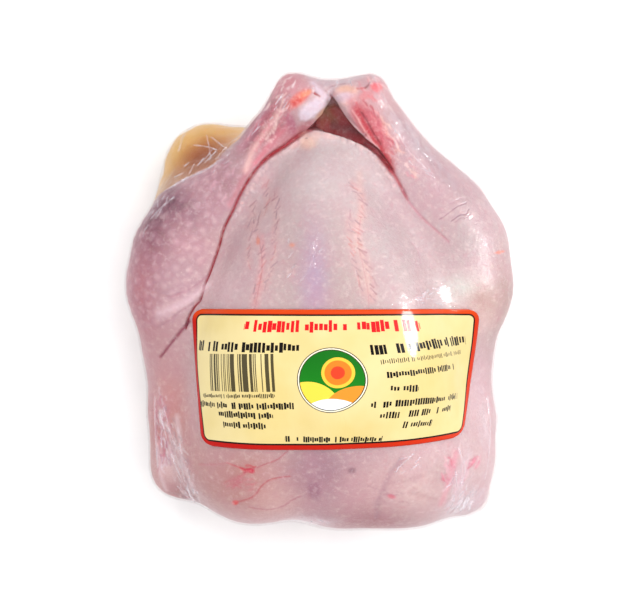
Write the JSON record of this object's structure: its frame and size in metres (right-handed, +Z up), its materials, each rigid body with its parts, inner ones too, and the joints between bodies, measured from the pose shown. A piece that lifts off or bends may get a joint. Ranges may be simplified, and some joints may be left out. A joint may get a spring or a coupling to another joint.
{
  "type": "whole raw chicken in a clear bag",
  "caption": "Whole raw chicken lying breast up in a tight clear film bag, hocks drawn together at one end, with a printed label wrapped over the breast.",
  "frame": {"origin": "centre of the base, on the plane that the bird's back rests on, under the middle of its length and width", "axes": "+Z up through the breast, +Y towards the hocks and tail, +X towards the bird's right leg"},
  "size_m": [0.1678, 0.195, 0.0959],
  "materials": {
    "skin": "moist raw poultry skin, pale pink with mauve thighs, fine follicle bumps and a soft sheen",
    "film": "clear stretched film with fine wrinkles and bright reflections",
    "label": "coated cream-yellow paper with an orange-red border and plain printed bars"
  },
  "bodies": {
    "root": {"bagged_chicken": "skin", "label": "label"}
  },
  "joints": []
}
